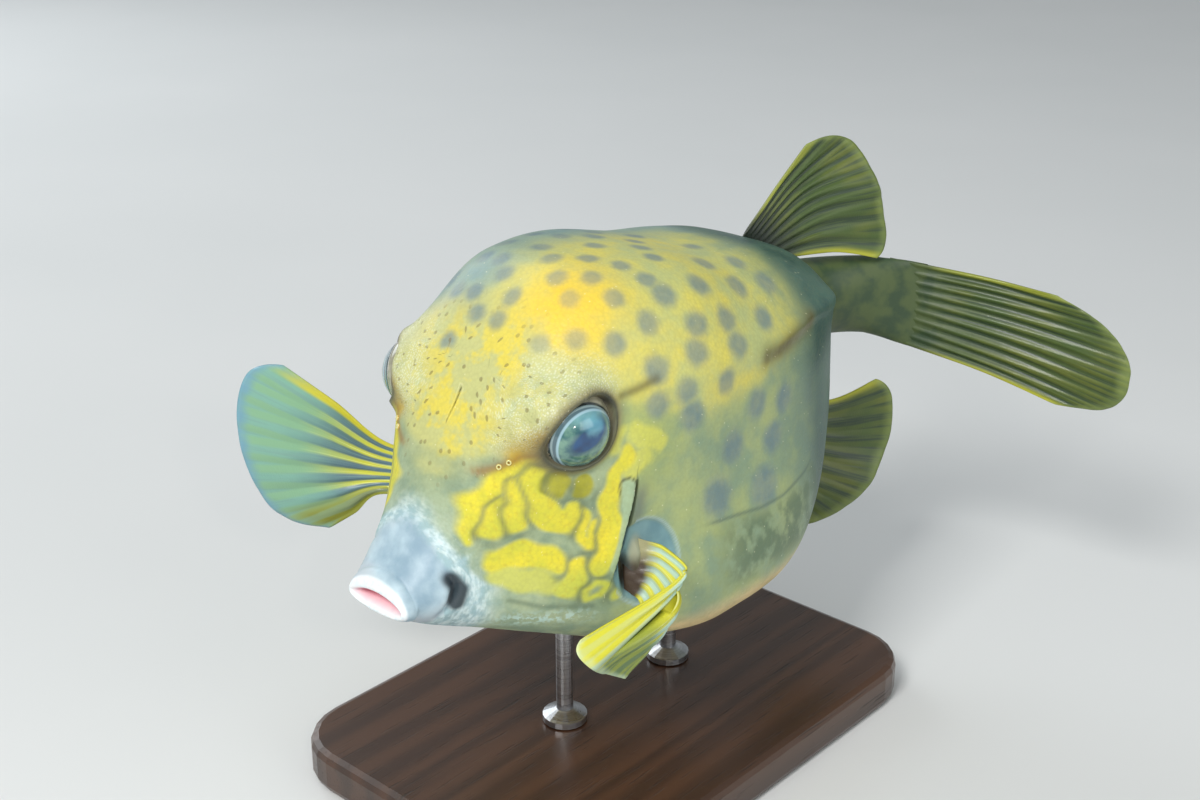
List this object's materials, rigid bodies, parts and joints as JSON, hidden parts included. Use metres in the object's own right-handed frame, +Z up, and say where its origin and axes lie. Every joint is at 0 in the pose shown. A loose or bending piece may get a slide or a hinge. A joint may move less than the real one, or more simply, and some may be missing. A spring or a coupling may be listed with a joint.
{
  "type": "bluespotted boxfish",
  "caption": "Boxy reef fish with a puckered mouth, fanned fins and a tail bent to its left, a still display model held level over a flat base by short rods.",
  "frame": {"origin": "middle of the base's underside, with the floor at zero", "axes": "the fish faces -Y, its left side is +X, and +Z is up"},
  "size_m": [0.1091, 0.14, 0.1085],
  "materials": {
    "lip": "white, wet skin",
    "skin_muzzle": "grey-blue wet skin",
    "skin_face": "yellow-ochre granular wet skin with yellow patches on the cheeks",
    "eye": "clear cornea over a silvery blue-green iris",
    "skin_back": "yellow-ochre granular wet skin with blue-grey spots",
    "skin_tail": "dark olive wet skin",
    "fin": "yellow rays with a pale membrane",
    "fin_dark": "olive rays with a darker membrane",
    "stand_wood": "dark stained wood",
    "stand_steel": "turned steel"
  },
  "bodies": {
    "root": {"lips": "lip", "muzzle": "skin_muzzle", "head": "skin_face", "eye_left": "eye", "eye_right": "eye", "carapace": "skin_back", "caudal_peduncle": "skin_tail", "pectoral_fin_left": "fin", "pectoral_fin_right": "fin", "dorsal_fin": "fin_dark", "anal_fin": "fin_dark", "caudal_fin": "fin_dark", "stand_base": "stand_wood", "stand_rod_front": "stand_steel", "stand_rod_rear": "stand_steel"}
  },
  "joints": []
}
